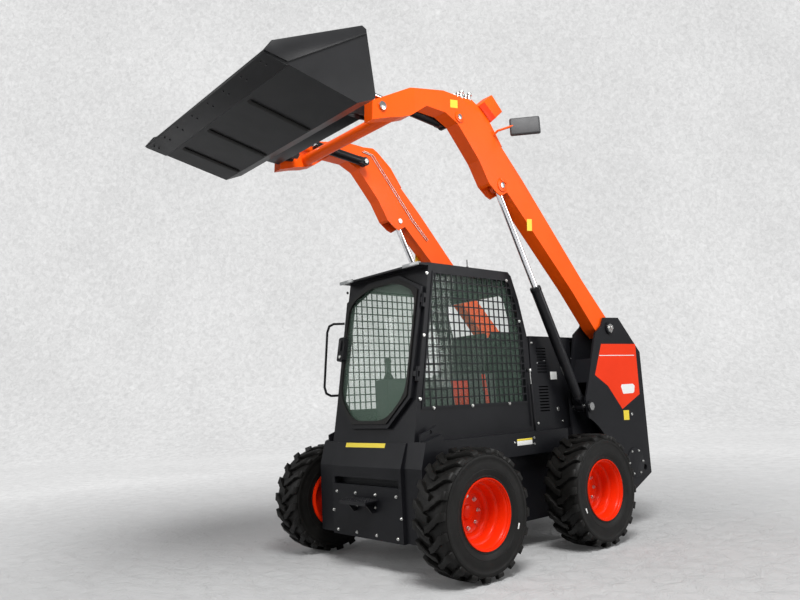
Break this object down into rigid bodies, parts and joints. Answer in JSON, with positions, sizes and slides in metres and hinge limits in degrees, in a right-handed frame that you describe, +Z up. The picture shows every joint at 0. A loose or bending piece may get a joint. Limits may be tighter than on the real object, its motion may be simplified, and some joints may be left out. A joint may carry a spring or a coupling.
{
  "type": "skid steer loader",
  "caption": "Compact skid steer loader with raised radial arms, a wide bucket, a screened cab, lugged tyres and a rear engine bay.",
  "frame": {"origin": "on the ground under the middle of the object's box, boom raised as stored", "axes": "+Z up; the machine faces -Y, its left side is +X"},
  "size_m": [1.916, 3.888, 3.485],
  "materials": {
    "body_black": "satin",
    "bucket_black": "satin",
    "arm_orange": "gloss",
    "rim_red": "gloss",
    "tyre_rubber": "matt",
    "pin_steel": "satin",
    "engine_iron": "cast",
    "rod_chrome": "polished",
    "window_glass": "clear, slightly green",
    "seat_vinyl": "matt",
    "cab_plastic": "matt",
    "lamp_lens": "clear"
  },
  "bodies": {
    "chassis": {"chassis_tub": "body_black", "side_sills": "body_black", "front_cover": "body_black", "front_step": "bucket_black", "boom_stops": "body_black", "axle_tubes": "body_black", "tower_outer_plates": "body_black", "tower_inner_plates": "body_black", "tower_webs": "body_black", "tower_pins": "pin_steel", "engine_block": "engine_iron", "side_panels": "body_black", "hood": "body_black", "lamps": "lamp_lens", "cab_frame": "body_black", "cab_roof": "body_black", "side_screens": "body_black", "cab_windows": "window_glass", "seat": "seat_vinyl", "seat_base": "cab_plastic", "control_levers": "cab_plastic", "door_hinges": "body_black", "grab_handle": "body_black"},
    "wheel_front_left": {"tyre_front_left": "tyre_rubber", "rim_front_left": "rim_red"},
    "wheel_front_right": {"tyre_front_right": "tyre_rubber", "rim_front_right": "rim_red"},
    "wheel_rear_left": {"tyre_rear_left": "tyre_rubber", "rim_rear_left": "rim_red"},
    "wheel_rear_right": {"tyre_rear_right": "tyre_rubber", "rim_rear_right": "rim_red"},
    "boom": {"lift_arms": "arm_orange", "boom_cross_tube": "arm_orange", "boom_pins": "pin_steel", "valve_box": "arm_orange", "mirrors": "body_black"},
    "lift_barrel_pair": {"lift_barrels": "body_black"},
    "lift_rod_pair": {"lift_rods": "rod_chrome"},
    "tilt_barrel_pair": {"tilt_barrels": "body_black"},
    "tilt_rod_pair": {"tilt_rods": "rod_chrome"},
    "bucket_body": {"bucket": "bucket_black", "bucket_coupler": "bucket_black"},
    "cab_door": {"door_frame": "body_black", "door_glass": "window_glass"},
    "engine_door": {"rear_door": "body_black"}
  },
  "joints": [
    {"name": "front_left_wheel_spin", "type": "hinge", "parent": "chassis", "child": "wheel_front_left", "pos_m": [0.816, -0.457, 0.415], "axis": [1, 0, 0], "continuous": true},
    {"name": "front_right_wheel_spin", "type": "hinge", "parent": "chassis", "child": "wheel_front_right", "pos_m": [-0.816, -0.457, 0.415], "axis": [1, 0, 0], "continuous": true},
    {"name": "rear_left_wheel_spin", "type": "hinge", "parent": "chassis", "child": "wheel_rear_left", "pos_m": [0.816, 0.847, 0.415], "axis": [1, 0, 0], "continuous": true},
    {"name": "rear_right_wheel_spin", "type": "hinge", "parent": "chassis", "child": "wheel_rear_right", "pos_m": [-0.816, 0.847, 0.415], "axis": [1, 0, 0], "continuous": true},
    {"name": "boom_lift", "type": "hinge", "parent": "chassis", "child": "boom", "pos_m": [0, 1.48, 1.678], "axis": [1, 0, 0], "range_deg": [0, 62]},
    {"name": "lift_barrel_swing", "type": "hinge", "parent": "chassis", "child": "lift_barrel_pair", "pos_m": [0, 1.11, 1.03], "axis": [1, 0, 0], "range_deg": [-2, 62.25]},
    {"name": "lift_rod_slide", "type": "slide", "parent": "lift_barrel_pair", "child": "lift_rod_pair", "axis": [0, -0.4485, 0.8938], "range_m": [-0.7693, 0.002]},
    {"name": "bucket_tilt", "type": "hinge", "parent": "boom", "child": "bucket_body", "pos_m": [0, -0.9, 3.118], "axis": [1, 0, 0], "range_deg": [-75, 52]},
    {"name": "tilt_barrel_swing", "type": "hinge", "parent": "boom", "child": "tilt_barrel_pair", "pos_m": [0, -0.18, 3.203], "axis": [1, 0, 0], "range_deg": [-5, 5]},
    {"name": "tilt_rod_slide", "type": "slide", "parent": "tilt_barrel_pair", "child": "tilt_rod_pair", "axis": [0, -0.9958, 0.0919], "range_m": [-0.185, 0.13]},
    {"name": "cab_door_hinge", "type": "hinge", "parent": "chassis", "child": "cab_door", "pos_m": [0.46, -0.60871, 1.01722], "axis": [0, 0.1788, 0.9839], "range_deg": [0, 95]},
    {"name": "engine_door_hinge", "type": "hinge", "parent": "chassis", "child": "engine_door", "pos_m": [0.462, 1.912, 0.975], "axis": [0, 0, -1], "range_deg": [0, 100]}
  ],
  "couplings": [
    {"joint": "lift_barrel_swing", "follows": "boom_lift", "ratio": 0.97183},
    {"joint": "lift_rod_slide", "follows": "boom_lift", "m_per_rad": -0.70907},
    {"joint": "tilt_barrel_swing", "follows": "bucket_tilt", "ratio": 0.05},
    {"joint": "tilt_rod_slide", "follows": "bucket_tilt", "m_per_rad": 0.13751}
  ]
}
